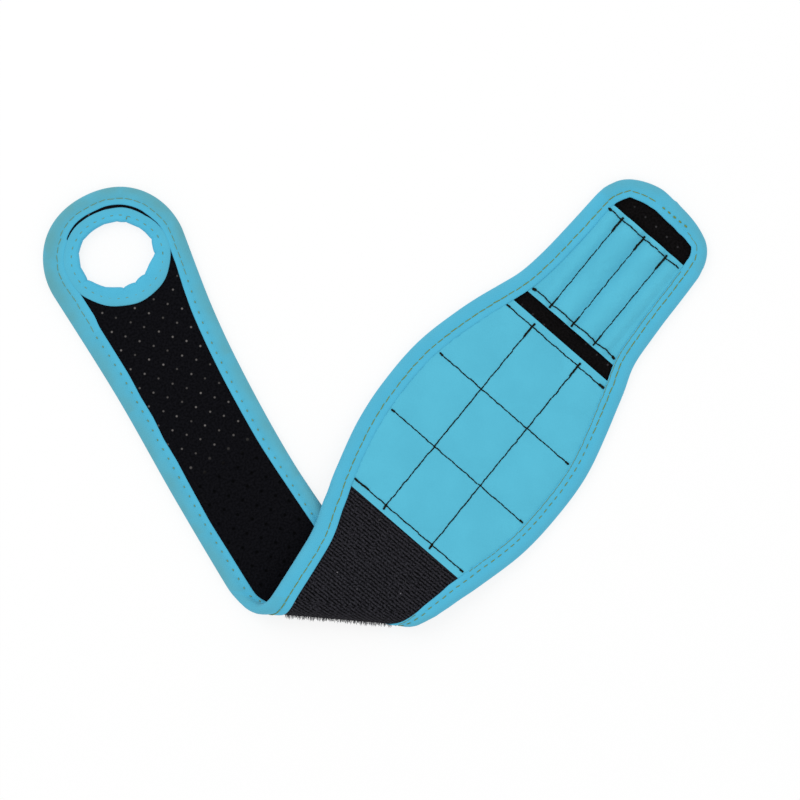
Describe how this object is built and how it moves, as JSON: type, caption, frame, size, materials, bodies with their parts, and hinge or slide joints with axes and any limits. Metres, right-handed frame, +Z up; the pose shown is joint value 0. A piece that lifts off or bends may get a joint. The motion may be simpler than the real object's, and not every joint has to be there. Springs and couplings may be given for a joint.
{
  "type": "magnetic wristband",
  "caption": "Soft padded wristband with rows of magnet cells, open stitched channels, a rounded hook tip, a ribbed loop strip and a strap ending in a thumb ring, lying folded over once.",
  "frame": {"origin": "under the middle of the band's box, on the surface that it lies on", "axes": "+X to the right and +Y away from the viewer's lower edge, seen from above with the thumb ring at the upper left; +Z up, off the surface"},
  "size_m": [0.333, 0.2254, 0.0187],
  "materials": {
    "blue_fabric": "fine plain weave, matt with a slight sheen",
    "blue_tape": "fine weave binding tape with a topstitch",
    "lining_fabric": "perforated foam-backed cloth, matt",
    "loop_fabric": "ribbed loop pile, matt",
    "hook_tape": "hook tape",
    "magnet_plate": "nickel plated"
  },
  "bodies": {
    "inner_strap": {"inner_strap_lining": "lining_fabric", "inner_strap_face": "loop_fabric", "inner_strap_binding_left": "blue_tape", "inner_strap_binding_right": "blue_tape"},
    "outer_strap": {"outer_strap_lining": "lining_fabric", "outer_strap_face": "loop_fabric", "outer_strap_binding_left": "blue_tape", "outer_strap_binding_right": "blue_tape"},
    "thumb_loop": {"thumb_loop_lining": "lining_fabric", "thumb_loop_face": "loop_fabric", "thumb_loop_binding": "blue_tape", "thumb_hole_binding": "blue_tape"},
    "lower_fold": {"lower_fold_lining": "lining_fabric", "lower_fold_face": "loop_fabric", "lower_fold_binding_left": "blue_tape", "lower_fold_binding_right": "blue_tape"},
    "upper_fold": {"upper_fold_lining": "lining_fabric", "upper_fold_face": "loop_fabric", "upper_fold_binding_left": "blue_tape", "upper_fold_binding_right": "blue_tape"},
    "loop_patch": {"loop_patch_lining": "lining_fabric", "loop_patch_face": "loop_fabric", "loop_patch_binding_left": "blue_tape", "loop_patch_binding_right": "blue_tape"},
    "lower_row": {"lower_row_lining": "lining_fabric", "lower_row_face": "blue_fabric", "lower_row_binding_left": "blue_tape", "lower_row_binding_right": "blue_tape", "lower_row_magnet_left": "magnet_plate", "lower_row_magnet_middle": "magnet_plate", "lower_row_magnet_right": "magnet_plate"},
    "middle_row": {"middle_row_lining": "lining_fabric", "middle_row_face": "blue_fabric", "middle_row_binding_left": "blue_tape", "middle_row_binding_right": "blue_tape", "middle_row_magnet_left": "magnet_plate", "middle_row_magnet_middle": "magnet_plate", "middle_row_magnet_right": "magnet_plate"},
    "upper_row": {"upper_row_lining": "lining_fabric", "upper_row_face": "blue_fabric", "upper_row_binding_left": "blue_tape", "upper_row_binding_right": "blue_tape", "upper_row_magnet_left": "magnet_plate", "upper_row_magnet_middle": "magnet_plate", "upper_row_magnet_right": "magnet_plate"},
    "channels": {"channels_lining": "lining_fabric", "channels_face": "blue_fabric", "channels_binding_left": "blue_tape", "channels_binding_right": "blue_tape", "hook_patch": "hook_tape"},
    "tip": {"tip_lining": "lining_fabric", "tip_binding": "blue_tape", "tip_hook_patch": "hook_tape"}
  },
  "joints": [
    {"name": "strap_bend", "type": "hinge", "parent": "inner_strap", "child": "outer_strap", "pos_m": [-0.07469, -0.02086, 0.0057], "axis": [0.8581, 0.5135, 0], "range_deg": [-20, 50]},
    {"name": "thumb_loop_bend", "type": "hinge", "parent": "outer_strap", "child": "thumb_loop", "pos_m": [-0.11372, 0.04435, 0.0057], "axis": [0.8581, 0.5135, 0], "range_deg": [-20, 50]},
    {"name": "fold_open", "type": "hinge", "parent": "inner_strap", "child": "lower_fold", "pos_m": [-0.07036, -0.09941, 0], "axis": [0.9944, -0.1059, 0], "range_deg": [0, 60]},
    {"name": "fold_crest_open", "type": "hinge", "parent": "lower_fold", "child": "upper_fold", "pos_m": [-0.06291, -0.10579, 0.00963], "axis": [0.9957, -0.0871, -0.0325], "range_deg": [0, 61]},
    {"name": "fold_top_open", "type": "hinge", "parent": "upper_fold", "child": "loop_patch", "pos_m": [-0.05449, -0.1011, 0.01873], "axis": [0.9923, -0.1056, -0.0649], "range_deg": [0, 61]},
    {"name": "hem_bend", "type": "hinge", "parent": "loop_patch", "child": "lower_row", "pos_m": [0.01351, -0.06531, 0.00484], "axis": [-0.7559, 0.6547, 0], "range_deg": [-20, 50]},
    {"name": "lower_seam_bend", "type": "hinge", "parent": "lower_row", "child": "middle_row", "pos_m": [0.04043, -0.0324, 0], "axis": [-0.7559, 0.6547, 0], "range_deg": [-20, 50]},
    {"name": "upper_seam_bend", "type": "hinge", "parent": "middle_row", "child": "upper_row", "pos_m": [0.06406, -0.00353, 0], "axis": [-0.7559, 0.6547, 0], "range_deg": [-20, 50]},
    {"name": "slot_bend", "type": "hinge", "parent": "upper_row", "child": "channels", "pos_m": [0.09459, 0.03376, 0], "axis": [-0.7559, 0.6547, 0], "range_deg": [-20, 50]},
    {"name": "tip_bend", "type": "hinge", "parent": "channels", "child": "tip", "pos_m": [0.1369, 0.08546, 0], "axis": [-0.7559, 0.6547, 0], "range_deg": [-20, 50]}
  ],
  "couplings": [
    {"joint": "fold_crest_open", "follows": "fold_open", "ratio": 1},
    {"joint": "fold_top_open", "follows": "fold_open", "ratio": 1}
  ]
}
